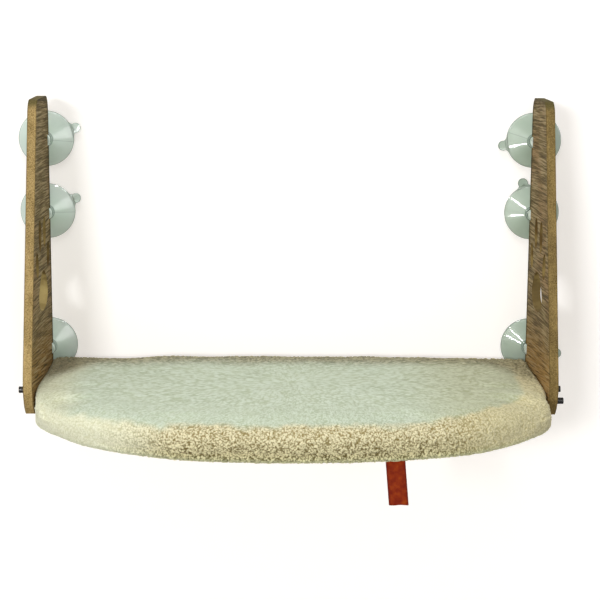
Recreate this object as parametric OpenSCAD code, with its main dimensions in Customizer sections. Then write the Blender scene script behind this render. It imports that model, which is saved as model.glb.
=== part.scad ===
// Window mounted cat perch. Millimetres, +Z up, +Y towards the window glass, +X to the right.
// The origin lies on the glass (Y = 0), midway between the two side planks and
// midway between the top and the bottom row of suction cups.

/* [Side planks] */
// Clear width between the two planks
inner_w = 530; // [400:1:700]
// Thickness of a plank
plank_t = 9.5; // [8:0.5:18]
// Height of the top end above the origin
plank_top = 165; // [120:1:220]
// Depth of the bottom end below the origin
plank_drop = 159.5; // [120:0.5:220]
// Gap between the glass and the plank's rear edge
glass_gap = 18; // [14:0.5:25]
// Distance from the glass to the plank's front edge at the origin's height
front_reach = 154; // [120:1:200]
// How far the front edge draws back for each millimetre of height
front_lean = 0.2875; // [0:0.0025:0.4]
// Corner radius, front top
round_front_top = 17; // [5:1:30]
// Corner radius, rear top
round_rear_top = 18; // [5:1:30]
// Corner radius, front bottom
round_front_low = 37; // [10:1:60]
// Corner radius, rear bottom
round_rear_low = 3; // [1:0.5:10]

/* [Paw cut-out] */
// Distance from the glass to the middle of the paw
paw_y = 86; // [60:1:110]
// Height of the middle of the paw's pad below the origin
paw_drop = 39; // [20:1:60]
// Width of the pad
pad_w = 66; // [40:1:80]
// Height of the pad
pad_h = 43; // [30:1:60]
// How much the pad narrows towards its top, as a share of its width
pad_taper_share = 0.3; // [0:0.05:0.5]
// Width of an inner toe
toe_w = 21; // [12:1:30]
// Height of an inner toe
toe_h = 34; // [20:1:45]
// Width of an outer toe
side_toe_w = 19; // [12:1:30]
// Height of an outer toe
side_toe_h = 28; // [18:1:40]
// Sideways distance of an inner toe from the paw's middle
toe_out = 17; // [12:1:25]
// Height of an inner toe's middle above the pad's middle
toe_up = 61; // [45:1:75]
// Sideways distance of an outer toe from the paw's middle
side_toe_out = 42; // [30:1:55]
// Height of an outer toe's middle above the pad's middle
side_toe_up = 33; // [20:1:45]
// Outward lean of an outer toe, in degrees
side_toe_lean = 14; // [0:1:30]

/* [Suction cups] */
// Diameter of a cup's rim
cup_d = 61; // [45:1:80]
// Height of the top row above the origin, and of the bottom row below it
cup_row = 116; // [90:1:140]
// Height of the middle row above the origin
cup_mid = 35.5; // [0:0.5:70]
// Height of the cone from the glass to the collar
cone_h = 12; // [8:0.5:16]
// Thickness of the rim
rim_t = 1.1; // [0.8:0.1:2]
// Depth of the hollow at the cup's middle
hollow_h = 3.7; // [2:0.1:4]
// Width of the flat ring that touches the glass
lip_w = 1.8; // [1:0.1:4]
// Diameter of the collar behind the neck
collar_d = 16.4; // [12:0.2:22]
// Thickness of the collar
collar_t = 2.4; // [1:0.2:4]
// Diameter of the neck
neck_d = 9.8; // [7:0.1:13]
// Diameter of the head
head_d = 15; // [11:0.5:20]
// Thickness of the head
head_t = 4.7; // [3:0.1:8]
// Rounding of the head's edges
head_round = 1.4; // [0.5:0.1:2]
// Width of the pull tab
tab_w = 11; // [8:0.5:16]
// Reach of the pull tab's tip from the cup's middle
tab_reach = 40; // [34:0.5:46]
// Thickness of the pull tab
tab_t = 1.6; // [1:0.1:3]
// Lift of the pull tab off the glass
tab_lift = 0.5; // [0.3:0.1:2]
// Depth of the slot's narrow throat in the plank's rear edge
throat_depth = 4; // [2.5:0.1:8]
// Running clearance round the neck and the head, per side
cup_play = 0.06; // [0.02:0.01:0.1]
// Play of the head along its own axis, per side
head_play = 0.15; // [0.05:0.05:0.5]
// Directions of the left cups' tabs from top to bottom, degrees from +X towards +Z
tab_angles_left = [20, 24.5, 255];
// Directions of the right cups' tabs from top to bottom, degrees from +X towards +Z
tab_angles_right = [190, 108, -16];

/* [Bed] */
// Depth of the bed from its straight rear edge to its front
bed_depth = 316.5; // [220:0.5:400]
// Depth of the rounded front part of the outline
bed_round_depth = 184.5; // [120:0.5:240]
// Power of the rounded front's curve, two is an ellipse
bed_power = 2.35; // [2:0.05:4]
// Corner radius at the rear of the bed
bed_rear_round = 8; // [3:1:30]
// Height of the bed's top edge below the origin
bed_top_drop = 127.5; // [110:0.5:150]
// Height of the padded rim
rim_h = 35; // [24:1:60]
// Radius of the rim's edge at the front
rim_round = 17; // [8:1:30]
// Radius of the rim's edge between the planks
side_round = 2.4; // [2:0.2:6]
// Rise of the bed's middle over its edge
crown = 4; // [0:0.5:20]
// Thickness of the plush cover's cloth
cover_t = 2; // [1:0.1:4]
// Width of the cover's hem under the bed
hem_w = 40; // [20:1:80]
// Clearance between the cover and what it wraps, and between the cover and the planks
soft_gap = 0.3; // [0.2:0.1:1]
// Thickness of the bed board
board_t = 9; // [6:0.5:15]
// Width of a wooden cleat
cleat_w = 20; // [15:1:30]
// How far a cleat reaches past the start of the rounded front
cleat_past = 28; // [5:1:40]
// Least distance of a cleat's front end from the plank's front edge
cleat_margin = 12.5; // [5:0.5:40]
// Distance of a cleat's rear end from the bed's rear edge
cleat_back = 20; // [5:1:40]
// How far the foam stays inside the board's edge
foam_inset = 3; // [2:0.5:20]
// Extra clearance between a cleat and the cover's side
cleat_slack = 0.2; // [0.1:0.1:2]

/* [Fasteners] */
// Diameter of a screw's shank
screw_d = 3.5; // [3:0.1:6]
// Length of a screw's shank
screw_l = 30; // [16:1:40]
// Diameter of a screw's head
screw_head_d = 6.8; // [5:0.1:12]
// Height of a screw's head
screw_head_h = 8.2; // [2:0.1:10]
// Width of the hexagon socket across its corners
socket_d = 3.4; // [2:0.1:6]
// Depth of the hexagon socket
socket_h = 3; // [1:0.1:5]
// Diameter of a washer
washer_d = 10; // [8:0.5:16]
// Thickness of a washer
washer_t = 1.2; // [0.5:0.1:2]
// Distance of the left front screw from its cleat's front end
left_screw_in = 27; // [6:0.5:40]
// Distance of the right front screw from its cleat's front end
right_screw_in = 15; // [6:0.5:18]
// Distance of the right upper screw from its cleat's front end
upper_screw_in = 35; // [28:0.5:50]
// Distance of a rear screw from its cleat's rear end
rear_screw_in = 14; // [6:0.5:30]
// Depth of the left front and the right upper screw below the bed's top edge
high_screw_drop = 5.6; // [5.4:0.1:12]
// Depth of the other screws below the bed's top edge
low_screw_drop = 13.4; // [6:0.1:16]

/* [Label] */
// Width of the fabric label
label_w = 19; // [10:0.5:40]
// Length of the fabric label
label_l = 45.5; // [20:0.5:80]
// Thickness of the folded label
label_t = 1.2; // [0.6:0.1:3]
// Sideways place of the label's middle
label_x = 98.7; // [-200:0.1:200]
// Distance of the label behind the bed's front edge
label_back = 25.5; // [10:0.5:60]
// Sideways shift of the label's free end
label_lean = 4; // [0:0.5:10]

/* [Hidden] */
$fn = 96;
arc_steps = 10;
toe_steps = 32;
overrun = 1;
half_w = inner_w / 2;
screw_tip = half_w + plank_t + washer_t - screw_l;
rear_y = -glass_gap;
pocket_depth = head_t + 2 * head_play;
bed_top = -bed_top_drop;
bed_bottom = bed_top - rim_h;
bed_half = half_w - soft_gap;
round_start = rear_y - bed_depth + bed_round_depth;
inner_drop = cover_t + soft_gap;
board_low = bed_bottom + inner_drop;
board_high = board_low + board_t;
cleat_high = bed_top - inner_drop;
foam_edge_h = cleat_high - board_high - 2 * soft_gap;
plank_low_reach = front_reach + front_lean * bed_top_drop;
cleat_front = min(cleat_past - round_start, plank_low_reach - cleat_margin);
cleat_rear = glass_gap + cleat_back;
cleat_l = cleat_front - cleat_rear;
cleat_side = side_at(cleat_front) - inner_drop - cleat_slack;
cover_hole_l = half_w - cleat_side + 2 * overrun;
high_screw_z = bed_top - high_screw_drop;
low_screw_z = bed_top - low_screw_drop;
rear_screw = [-cleat_rear - rear_screw_in, low_screw_z];
screws_left = [[left_screw_in - cleat_front, high_screw_z], rear_screw];
screws_right = [[right_screw_in - cleat_front, low_screw_z],
    [upper_screw_in - cleat_front, high_screw_z], rear_screw];
label_y = rear_y - bed_depth + label_back;
wood = [0.62, 0.5, 0.34];
pale_wood = [0.78, 0.66, 0.46];
mint = [0.68, 0.79, 0.74, 0.6];
plush = [0.82, 0.85, 0.74];
foam_white = [0.9, 0.9, 0.86];
black = [0.06, 0.06, 0.06];
red = [0.62, 0.2, 0.08];

// Unit vector of v.
function unit(v) = v / norm(v);

// Points of the arc of radius r that rounds the corner p between a and b.
function corner(a, p, b, r) =
    let (u = unit(a - p), v = unit(b - p))
    let (half = acos(u * v) / 2)
    let (c = p + unit(u + v) * r / sin(half))
    let (s = p + u * r / tan(half) - c, e = p + v * r / tan(half) - c)
    let (sweep = asin((s[0] * e[1] - s[1] * e[0]) / (r * r)))
    [for (i = [0 : arc_steps])
        let (t = sweep * i / arc_steps)
        c + [s[0] * cos(t) - s[1] * sin(t), s[0] * sin(t) + s[1] * cos(t)]];

// Side outline of a plank in Y and Z, from its four corners and their radii.
function plank_outline() =
    let (rl = [rear_y, -plank_drop], rt = [rear_y, plank_top])
    let (ft = [-front_reach + front_lean * plank_top, plank_top])
    let (fl = [-front_reach - front_lean * plank_drop, -plank_drop])
    concat(corner(fl, rl, rt, round_rear_low), corner(rl, rt, ft, round_rear_top),
        corner(rt, ft, fl, round_front_top), corner(ft, fl, rl, round_front_low));

// Ellipse of a toe, w wide and h high.
function toe(w, h) = [for (i = [0 : toe_steps - 1])
    let (a = 360 * i / toe_steps)
    [cos(a) * w / 2, sin(a) * h / 2]];

// Outline of the paw's pad: an ellipse that narrows towards its top.
function pad() = [for (i = [0 : 2 * toe_steps - 1])
    let (a = 180 * i / toe_steps)
    [cos(a) * (1 - pad_taper_share * sin(a)) * pad_w / 2, sin(a) * pad_h / 2]];

// Number a raised to p with a's sign kept.
function keep_pow(a, p) = a < 0 ? -pow(-a, p) : pow(a, p);

bed_front_steps = 26;
bed_corner_steps = 2;
bed_side_steps = 2;
bed_rear_steps = 6;

// Half width of the bed at the distance y from the glass.
function side_at(y) =
    bed_half * pow(1 - pow(max(0, y + round_start) / bed_round_depth, bed_power), 1 / bed_power);

// Plan outline of the bed, drawn in by d: a curved front, straight sides and a straight rear.
function bed_outline(d) =
    let (w = bed_half - d, f = bed_round_depth - d, y = rear_y - d)
    let (r = max(bed_rear_round - d, side_round))
    concat(
        [for (i = [0 : bed_front_steps])
            let (a = 180 + 180 * i / bed_front_steps)
            [w * keep_pow(cos(a), 2 / bed_power), round_start + f * keep_pow(sin(a), 2 / bed_power)]],
        [for (i = [1 : bed_side_steps])
            [w, round_start + (y - r - round_start) * i / (bed_side_steps + 1)]],
        [for (i = [0 : bed_corner_steps])
            let (a = 90 * i / bed_corner_steps)
            [w - r + r * cos(a), y - r + r * sin(a)]],
        [for (i = [1 : bed_rear_steps - 1])
            [(w - r) * (1 - 2 * i / bed_rear_steps), y]],
        [for (i = [0 : bed_corner_steps])
            let (a = 90 + 90 * i / bed_corner_steps)
            [-w + r + r * cos(a), y - r + r * sin(a)]],
        [for (i = [bed_side_steps : -1 : 1])
            [-w, round_start + (y - r - round_start) * i / (bed_side_steps + 1)]]);

// Share of the full front rounding at outline point p: one at the front, zero beside the planks.
front_blend_l = 90;
function front_share(p) =
    let (t = min(1, max(0, (-plank_low_reach - p[1]) / front_blend_l)))
    t * t * (3 - 2 * t);

// Radius of the rim's edge over outline point p, less the skin depth s.
function edge_round(p, s) = side_round + (rim_round - side_round) * front_share(p) - s;

base_outline = bed_outline(0);
ring_count = len(base_outline);
rim_steps = 3;
hem_outline = bed_outline(hem_w);
crown_shares = [0.9, 0.7, 0.4];
crown_y = rear_y - bed_depth / 2;

// Middle direction inwards at outline point i, as the difference of two outlines one apart.
inward = [for (i = [0 : ring_count - 1]) bed_outline(1)[i] - base_outline[i]];

// Ring of the rim at step k, level at step zero, s inside the outer face; side is -1 below, 1 above.
function rim_ring(k, s, side) = [for (i = [0 : ring_count - 1])
    let (a = 90 * k / rim_steps, p = base_outline[i], r = edge_round(p, s))
    let (q = p + inward[i] * (s + r * (1 - cos(a))))
    [q[0], q[1], side > 0 ? bed_top - s - r + r * sin(a) : bed_bottom + s + r - r * sin(a)]];

// Plan outline that stays d inside the cover's flat underside.
function flat_outline(d) = [for (i = [0 : ring_count - 1])
    base_outline[i] + inward[i] * (d + edge_round(base_outline[i], inner_drop))];

// Ring of the hem's inner edge under the bed, s above the outer face.
function hem_ring(s) = [for (q = hem_outline) [q[0], q[1], bed_bottom + s]];

// One ring of the crowned top at share k of the outline, s under the outer face.
function crown_ring(k, s) = [for (i = [0 : ring_count - 1])
    let (p = base_outline[i], q = p + inward[i] * (s + edge_round(p, s)))
    [q[0] * k, crown_y + (q[1] - crown_y) * k, bed_top - s + crown * (1 - k * k)]];

outer_rings = concat(
    [hem_ring(0)],
    [for (k = [rim_steps : -1 : 0]) rim_ring(k, 0, -1)],
    [for (k = [0 : rim_steps]) rim_ring(k, 0, 1)],
    [for (k = crown_shares) crown_ring(k, 0)]);
inner_rings = concat(
    [hem_ring(cover_t)],
    [for (k = [rim_steps : -1 : 0]) rim_ring(k, cover_t, -1)],
    [for (k = [0 : rim_steps]) rim_ring(k, cover_t, 1)],
    [for (k = crown_shares) crown_ring(k, cover_t)]);
rows = len(outer_rings);

// Two triangles between columns i and i + 1 of the rings that start at points a and b.
function band(a, b) = [for (i = [0 : ring_count - 1], h = [0, 1])
    let (j = (i + 1) % ring_count)
    h == 0 ? [a + i, b + i, b + j] : [a + i, b + j, a + j]];

// Triangles from the ring that starts at point a to the single point c.
function fan(a, c) = [for (i = [0 : ring_count - 1]) [a + i, c, a + (i + 1) % ring_count]];

// Triangle faces with their direction turned round.
function turned(f) = [for (t = f) [t[0], t[2], t[1]]];

cover_points = concat(
    [for (ring = outer_rings, p = ring) p],
    [for (ring = inner_rings, p = ring) p],
    [[0, crown_y, bed_top + crown], [0, crown_y, bed_top - cover_t + crown]]);
inner_start = rows * ring_count;
last_point = len(cover_points) - 1;
cover_faces = concat(
    [for (k = [0 : rows - 2], t = band(k * ring_count, (k + 1) * ring_count)) t],
    fan((rows - 1) * ring_count, last_point - 1),
    turned([for (k = [0 : rows - 2],
        t = band(inner_start + k * ring_count, inner_start + (k + 1) * ring_count)) t]),
    turned(fan(inner_start + (rows - 1) * ring_count, last_point)),
    turned(band(0, inner_start)));

// Stands a drawing in Y and Z up and gives it the thickness t from X = x.
module upright(x, t) {
    translate([x, 0, 0])
        rotate([90, 0, 90])
            linear_extrude(height = t)
                children();
}

// The five openings of the paw, drawn in Y and Z.
module paw_drawing() {
    translate([-paw_y, -paw_drop]) {
        polygon(pad());
        for (side = [-1, 1]) {
            translate([side * toe_out, toe_up])
                polygon(toe(toe_w, toe_h));
            translate([side * side_toe_out, side_toe_up])
                rotate(-side * side_toe_lean)
                    polygon(toe(side_toe_w, side_toe_h));
        }
    }
}

// The slot for a cup's neck and head, drawn in Y and Z at height z.
module slot_drawing(z) {
    throat = neck_d + 2 * cup_play;
    pocket = head_d + 2 * cup_play;
    translate([rear_y - throat_depth - overrun, z - throat / 2])
        square([throat_depth + 2 * overrun, throat]);
    translate([rear_y - throat_depth - pocket_depth, z - pocket / 2])
        square([pocket_depth, pocket]);
}

// A plank whose inner face is at X = x when side is 1, mirrored when side is -1.
module plank(side, places) {
    x = side > 0 ? half_w : -half_w - plank_t;
    difference() {
        upright(x, plank_t)
            difference() {
                polygon(plank_outline());
                paw_drawing();
                for (z = [cup_row, cup_mid, -cup_row])
                    slot_drawing(z);
            }
        for (s = places)
            translate([x - overrun, s[0], s[1]])
                rotate([0, 90, 0])
                    cylinder(d = screw_d + 2 * cup_play, h = plank_t + 2 * overrun);
    }
}

// Half section of a suction cup: radius and height above the glass.
function cup_profile() =
    let (r = cup_d / 2, n = neck_d / 2, h = head_d / 2, c = collar_d / 2)
    let (top = glass_gap + throat_depth + head_play, foot = cone_h + collar_t)
    [[0, hollow_h], [r - lip_w, 0], [r, 0], [r, rim_t], [c, cone_h], [c, foot], [n, foot], [n, top],
        [h - head_round, top], [h, top + head_round], [h, top + head_t - head_round],
        [h - head_round, top + head_t], [0, top + head_t]];

// A suction cup whose tab points at angle a, at X = x and Z = z.
module cup(x, z, a) {
    color(mint)
        translate([x, 0, z])
            rotate([90, -a, 0])
                union() {
                    rotate_extrude()
                        polygon(cup_profile());
                    translate([0, 0, tab_lift]) {
                        translate([cup_d / 2 - tab_w / 2, -tab_w / 2, 0])
                            cube([tab_reach - cup_d / 2, tab_w, tab_t]);
                        translate([tab_reach - tab_w / 2, 0, 0])
                            cylinder(d = tab_w, h = tab_t);
                    }
                }
}

// A screw on the outer face of the plank on the given side.
module screw(side, s) {
    color(black)
        translate([side * (half_w + plank_t + washer_t), s[0], s[1]])
            rotate([0, side * 90, 0])
                difference() {
                    union() {
                        cylinder(d = screw_head_d, h = screw_head_h);
                        translate([0, 0, -screw_l])
                            cylinder(d = screw_d, h = screw_l + overrun);
                    }
                    translate([0, 0, screw_head_h - socket_h])
                        cylinder(d = socket_d, h = socket_h + overrun, $fn = 6);
                }
}

// The washers under the screws of one side.
module washers(side, places) {
    color(black)
        for (s = places)
            translate([side * (half_w + plank_t), s[0], s[1]])
                rotate([0, side * 90, 0])
                    difference() {
                        cylinder(d = washer_d, h = washer_t);
                        translate([0, 0, -overrun])
                            cylinder(d = screw_d + 2 * cup_play, h = washer_t + 2 * overrun);
                    }
}

// A cleat on the board's side edge, with the pilot holes of its screws.
module cleat(side, places) {
    x = side > 0 ? cleat_side - cleat_w : -cleat_side;
    color(pale_wood)
        difference() {
            translate([x, -cleat_front, board_high])
                cube([cleat_w, cleat_l, cleat_high - board_high]);
            for (s = places)
                translate([side * screw_tip, s[0], s[1]])
                    rotate([0, side * 90, 0])
                        cylinder(d = screw_d, h = cleat_w);
        }
}

// Sizes of the pocket in the foam round a cleat.
module foam_pockets() {
    for (side = [-1, 1])
        translate([side * half_w, -cleat_rear - cleat_l / 2])
            square([2 * (half_w - cleat_side + cleat_w + soft_gap), cleat_l + 2 * soft_gap],
                center = true);
}

module side_plank_left() {
    color(wood)
        plank(-1, screws_left);
}

module side_plank_right() {
    color(wood)
        plank(1, screws_right);
}

module bed_board() {
    color(pale_wood)
        translate([0, 0, board_low])
            linear_extrude(height = board_t)
                polygon(flat_outline(inner_drop));
}

module foam_pad() {
    color(foam_white)
        translate([0, 0, board_high + soft_gap])
            linear_extrude(height = foam_edge_h)
                difference() {
                    polygon(flat_outline(inner_drop + foam_inset));
                    foam_pockets();
                }
}

module plush_cover() {
    color(plush)
        difference() {
            polyhedron(points = cover_points, faces = cover_faces);
            for (s = screws_left)
                translate([-half_w - overrun, s[0], s[1]])
                    rotate([0, 90, 0])
                        cylinder(d = screw_d + 2 * soft_gap, h = cover_hole_l);
            for (s = screws_right)
                translate([half_w + overrun, s[0], s[1]])
                    rotate([0, -90, 0])
                        cylinder(d = screw_d + 2 * soft_gap, h = cover_hole_l);
        }
}

module fabric_label() {
    color(red)
        translate([label_x, label_y, bed_bottom])
            rotate([90, 0, 0])
                linear_extrude(height = label_t)
                    polygon([[-label_w / 2, 0], [label_w / 2, 0],
                        [label_w / 2 + label_lean, -label_l], [label_lean - label_w / 2, -label_l]]);
}

cup_x = half_w + plank_t / 2;

side_plank_left();
side_plank_right();
cup(-cup_x, cup_row, tab_angles_left[0]);  // cup_left_top
cup(-cup_x, cup_mid, tab_angles_left[1]);  // cup_left_middle
cup(-cup_x, -cup_row, tab_angles_left[2]);  // cup_left_bottom
cup(cup_x, cup_row, tab_angles_right[0]);  // cup_right_top
cup(cup_x, cup_mid, tab_angles_right[1]);  // cup_right_middle
cup(cup_x, -cup_row, tab_angles_right[2]);  // cup_right_bottom
bed_board();
cleat(-1, screws_left);  // cleat_left
cleat(1, screws_right);  // cleat_right
foam_pad();
plush_cover();
fabric_label();
screw(-1, screws_left[0]);  // screw_left_front
screw(-1, screws_left[1]);  // screw_left_rear
screw(1, screws_right[0]);  // screw_right_front
screw(1, screws_right[1]);  // screw_right_upper
screw(1, screws_right[2]);  // screw_right_rear
washers(-1, screws_left);  // washers_left
washers(1, screws_right);  // washers_right
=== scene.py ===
"""Looks of the window mounted cat perch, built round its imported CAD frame.

Metres throughout: +X to the right, +Y from the room into the window glass, +Z up.
"""

from itertools import product
from math import cos, pi, radians, sin

import bpy
import numpy as np
from mathutils import Matrix, Vector


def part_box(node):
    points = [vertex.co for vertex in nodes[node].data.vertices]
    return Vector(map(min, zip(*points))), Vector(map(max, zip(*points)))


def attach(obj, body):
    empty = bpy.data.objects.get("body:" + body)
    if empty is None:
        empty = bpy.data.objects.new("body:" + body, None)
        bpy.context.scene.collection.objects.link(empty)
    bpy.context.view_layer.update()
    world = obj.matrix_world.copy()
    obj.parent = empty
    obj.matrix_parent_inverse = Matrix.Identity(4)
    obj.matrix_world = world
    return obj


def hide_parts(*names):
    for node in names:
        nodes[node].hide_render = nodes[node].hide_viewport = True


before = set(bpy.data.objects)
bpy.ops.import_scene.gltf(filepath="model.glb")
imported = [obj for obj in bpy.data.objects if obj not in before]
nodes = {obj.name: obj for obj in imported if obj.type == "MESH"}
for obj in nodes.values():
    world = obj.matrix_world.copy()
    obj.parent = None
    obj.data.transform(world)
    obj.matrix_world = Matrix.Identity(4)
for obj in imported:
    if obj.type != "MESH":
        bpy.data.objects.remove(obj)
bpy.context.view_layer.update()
scene = bpy.context.scene
MM = 0.001

# Sizes of the bed

bed_low, bed_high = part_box("plush_cover")
SIDE = bed_high.x  # half its width
REAR = bed_high.y
FRONT = bed_low.y
BED_MIDDLE = (REAR + FRONT) / 2  # midway between its rear and front
BED_BOTTOM = bed_low.z
BED_TOP = -127.5 * MM  # top edge of its rim
RIM_H = BED_TOP - BED_BOTTOM
ROUND_START = -150 * MM  # where the curved front starts
FRONT_POWER = 2.35  # power of that curve
CORNER = 8 * MM  # round of its rear corners
HEM = 40 * MM  # width of the hem under it

# Sizes of the planks

PLANK_MIDDLE = 269.75 * MM  # middle of a plank's thickness
PLANK_FRONT = -190.6 * MM  # front edge beside the bed
PLANK_REACH = 154 * MM  # reach of the front edge, level with the origin
PLANK_LEAN = 0.2875  # how far the front edge leans back for each metre up

# Places of the cups

CUP_ROWS = {"top": 116 * MM, "middle": 35.5 * MM, "bottom": -116 * MM}
TAB_ANGLES = {"left": (20, 24.5, 255), "right": (190, 108, -16)}  # in degrees, top row first

# Sizes of the label

LABEL_WIDTH = 19 * MM
LABEL_X = 98.7 * MM
LABEL_LEAN = 4 * MM  # how far its end lies to the right of its top
LABEL_SEAM = 5 * MM  # length hidden in the seam

# Place of the camera, fitted to the photograph

CAMERA_PLACE = (-19.1, -1877.2, 284.6)  # in millimetres
CAMERA_YAW, CAMERA_PITCH, CAMERA_ROLL = -0.931, 10.552, 0.33  # in degrees
CAMERA_LENS = 101.64


# Numbers worked out over arrays


def step_up(x, a, b):
    """Smooth step from 0 at a to 1 at b: t * t * (3 - 2 t) with t = (x - a) / (b - a)."""
    t = np.clip((x - a) / (b - a), 0, 1)
    return t * t * (3 - 2 * t)


def scatter(cells, salt):
    """Repeatable number from 0 to 1 for each row of whole numbers in cells."""
    c = cells.astype(np.int64)
    h = c[..., 0] * 73856093 ^ c[..., 1] * 19349663 ^ c[..., 2] * 83492791 ^ salt * 2654435761
    h = (h ^ (h >> 13)) * 1274126177 & 0xFFFFFFFF
    h = (h ^ (h >> 16)) * 2246822519 & 0xFFFFFFFF
    return ((h ^ (h >> 15)) & 0xFFFFFF) / float(0xFFFFFF)


def drift(p, salt):
    """Smooth noise from -1 to 1: the corner numbers of p's unit cell, blended along each axis."""
    base = np.floor(p)
    t = p - base
    t = t * t * (3 - 2 * t)
    total = np.zeros(p.shape[:-1])
    for step in product((0, 1), repeat=3):
        weight = np.ones(p.shape[:-1])
        for axis, s in enumerate(step):
            weight = weight * (t[..., axis] if s else 1 - t[..., axis])
        total += weight * scatter(base + step, salt)
    return total * 2 - 1


def tufts(p, salt):
    """Distance from p to the nearest and the second nearest seed, and the nearest seed's number.

    Each unit cell holds one seed at a scattered place, so the seeds are about one apart.
    """
    base = np.floor(p)
    near = np.full(p.shape[:-1], 9.0)
    second = near.copy()
    own = np.zeros(p.shape[:-1])
    for step in product((-1, 0, 1), repeat=3):
        cell = base + step
        gap = [cell[..., k] + scatter(cell, salt + k) - p[..., k] for k in range(3)]
        d = np.sqrt(gap[0] ** 2 + gap[1] ** 2 + gap[2] ** 2)
        closer = d < near
        second = np.where(closer, near, np.minimum(second, d))
        own = np.where(closer, scatter(cell, salt + 7), own)
        near = np.where(closer, d, near)
    return near, second, own


def grid_normals(g):
    """Outward unit normals of the grid g, whose columns close on themselves."""
    along = np.roll(g, -1, axis=1) - np.roll(g, 1, axis=1)
    up = np.gradient(g, axis=0)
    n = np.cross(along, up)
    return n / np.maximum(np.linalg.norm(n, axis=-1, keepdims=True), 1e-12)


def mesh_piece(name, points, quads, tris=(), smooth=True):
    """New object from points and index arrays of four-sided and three-sided faces."""
    quads = np.asarray(quads, np.int32).reshape(-1, 4)
    tris = np.asarray(tris, np.int32).reshape(-1, 3)
    corners = np.concatenate([quads.ravel(), tris.ravel()])
    starts = np.concatenate([np.arange(len(quads)) * 4, len(quads) * 4 + np.arange(len(tris)) * 3])
    mesh = bpy.data.meshes.new(name)
    mesh.vertices.add(len(points))
    mesh.vertices.foreach_set("co", np.asarray(points, np.float32).ravel())
    mesh.loops.add(len(corners))
    mesh.loops.foreach_set("vertex_index", corners)
    mesh.polygons.add(len(starts))
    mesh.polygons.foreach_set("loop_start", starts.astype(np.int32))
    mesh.update(calc_edges=True)
    mesh.polygons.foreach_set("use_smooth", np.full(len(starts), smooth))
    piece = bpy.data.objects.new(name, mesh)
    scene.collection.objects.link(piece)
    return piece


def ring_faces(rows, columns, first_pole, last_pole):
    """Faces of rows closed rings of points, with a fan to a pole at each end."""
    i = np.arange(columns)
    j = (i + 1) % columns
    base = np.arange(rows - 1)[:, None] * columns
    quads = np.stack([base + i, base + j, base + columns + j, base + columns + i], axis=-1)
    top = (rows - 1) * columns
    low = np.stack([np.full(columns, first_pole), j, i], axis=-1)
    high = np.stack([top + i, top + j, np.full(columns, last_pole)], axis=-1)
    return quads.reshape(-1, 4), np.concatenate([low, high])


def add_numbers(piece, name, values):
    """Number for each point of the piece, which its material can read by that name."""
    slot = piece.data.attributes.new(name, "FLOAT", "POINT")
    slot.data.foreach_set("value", np.asarray(values, np.float32).ravel())


# Camera


def photo_camera():
    """Camera at the photograph's place, turned by yaw, pitch and roll."""
    yaw, pitch, roll = (radians(a) for a in (CAMERA_YAW, CAMERA_PITCH, CAMERA_ROLL))
    ahead = Vector((-sin(yaw) * cos(pitch), cos(yaw) * cos(pitch), -sin(pitch)))
    level = Vector((cos(yaw), sin(yaw), 0))
    rise = level.cross(ahead)
    right = level * cos(roll) + rise * sin(roll)
    up = rise * cos(roll) - level * sin(roll)
    data = bpy.data.cameras.new("photo_camera")
    data.sensor_width = 36
    data.lens = CAMERA_LENS
    camera = bpy.data.objects.new("photo_camera", data)
    place = Matrix((right, up, -ahead)).transposed().to_4x4()
    place.translation = Vector(CAMERA_PLACE) * MM
    camera.matrix_world = place
    scene.collection.objects.link(camera)
    scene.camera = camera


# Materials


def linear(code):
    """Scene colour of a six-digit colour code."""
    parts = [int(code[k : k + 2], 16) / 255 for k in (0, 2, 4)]
    light = [c / 12.92 if c <= 0.04045 else ((c + 0.055) / 1.055) ** 2.4 for c in parts]
    return (*light, 1.0)


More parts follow.
